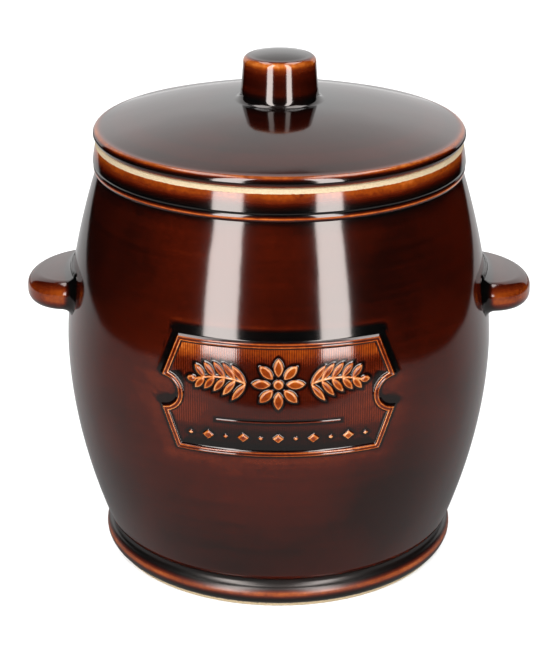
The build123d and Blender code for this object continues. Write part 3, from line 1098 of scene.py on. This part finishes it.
def dark_wall(material):
    """Curved dark wall round the front and sides, which only the gloss sees."""
    clear_selection()
    bpy.ops.mesh.primitive_cylinder_add(vertices=72, radius=wall_radius, depth=wall_height,
                                        end_fill_type="NOTHING", location=(0, 0, wall_height / 2))
    piece = named("dark_wall")
    bpy.ops.object.mode_set(mode="EDIT")
    bpy.ops.mesh.select_mode(type="FACE")
    bpy.ops.mesh.select_all(action="DESELECT")
    bpy.ops.object.mode_set(mode="OBJECT")
    for face in piece.data.polygons:
        face.select = abs(math.atan2(face.center.x, -face.center.y)) > wall_turn
    bpy.ops.object.mode_set(mode="EDIT")
    bpy.ops.mesh.delete(type="FACE")
    bpy.ops.object.mode_set(mode="OBJECT")
    piece.data.materials.append(material)
    return piece


def strip_light(azimuth, width):
    """Tall light standing on the floor and turned to the pot, which the camera doesn't see."""
    lamp = bpy.data.lights.new("strip_light", "AREA")
    lamp.shape, lamp.size, lamp.size_y = "RECTANGLE", width, wall_height
    lamp.energy = strip_power * width * wall_height
    light = bpy.data.objects.new("strip_light", lamp)
    bpy.context.collection.objects.link(light)
    turn = math.radians(azimuth)
    x, y = strip_distance * math.sin(turn), -strip_distance * math.cos(turn)
    light.location = (x, y, wall_height / 2)
    light.rotation_euler = (math.pi / 2, 0, turn)
    light.visible_camera = False


def studio():
    """White room and floor, strip lights, and the cards that shape what the gloss shows."""
    world = bpy.data.worlds.new("white_room")
    bpy.context.scene.world = world
    world.use_nodes = True
    tree = world.node_tree
    tree.nodes.clear()
    way = add(tree, "TexCoord").outputs["Generated"]
    up = add(tree, "SeparateXYZ", (way,)).outputs["Z"]
    glow = add(tree, "ValToRGB", (up,), room_glow)
    background = add(tree, "Background", {"Color": glow, "Strength": room_strength})
    add(tree, "OutputWorld", (background,))

    # The floor is matt paper, a shade off white. The gloss alone sees the rest: black cloth
    # for what is dark, a grey ceiling and two lit cloths under it
    whole = (-floor_half, floor_half)
    card("floor", whole, whole, 0, plain_material("white_paper", "#f4f4f4", 0.9))
    black = plain_material("black_cloth", "#000000", 1.0, 0)
    left, right, front, far = table_edges
    table = card("grey_table", (left, right), (front, far), card_lift, table_material())
    ceiling = card("dim_ceiling", (-wall_radius, wall_radius), (-wall_radius, ceiling_back),
                   wall_height, plain_material("dim_ceiling", ceiling_grey, 0.9), math.pi)
    flags = [dark_wall(black), table, ceiling]
    for span in overhead_lights:
        flags.append(card("overhead_light", span, overhead_depth, wall_height - overhead_drop,
                          glowing("light_cloth", overhead_strength), math.pi))
    for name, x, y in (
        ("dark_left", (-far, left), (-far, far)),
        ("dark_right", (right, far), (-far, far)),
        ("dark_front", (left, right), (-far, front)),
    ):
        flags.append(card(name, x, y, card_lift, black))
    for flag in flags:
        flag.visible_camera = flag.visible_diffuse = flag.visible_shadow = False
        flag.visible_transmission = False
    for azimuth, width in strips:
        strip_light(azimuth, width)


def camera():
    lens = bpy.data.cameras.new("camera")
    lens.sensor_fit, lens.sensor_width, lens.lens = "AUTO", camera_sensor, camera_lens
    eye = bpy.data.objects.new("camera", lens)
    bpy.context.collection.objects.link(eye)
    eye.matrix_world = (
        Matrix.Translation(camera_place)
        @ Matrix.Rotation(camera_tilt, 4, "X")
        @ Matrix.Rotation(camera_roll, 4, "Z")
    )
    bpy.context.scene.camera = eye


pieces = build()
glaze, clay = glaze_material(), stone_material()
bodies = {"lid": "lid", "lid_knob": "lid", "weight_left": "stone_left", "weight_right": "stone_right"}
for node, piece in pieces.items():
    stoneware = node.startswith("weight")
    piece.data.materials.clear()
    piece.data.materials.append(clay if stoneware else glaze)
    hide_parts(node)
    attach(piece, bodies.get(node, "crock"))

studio()
camera()
bpy.context.scene.view_settings.view_transform = "Standard"
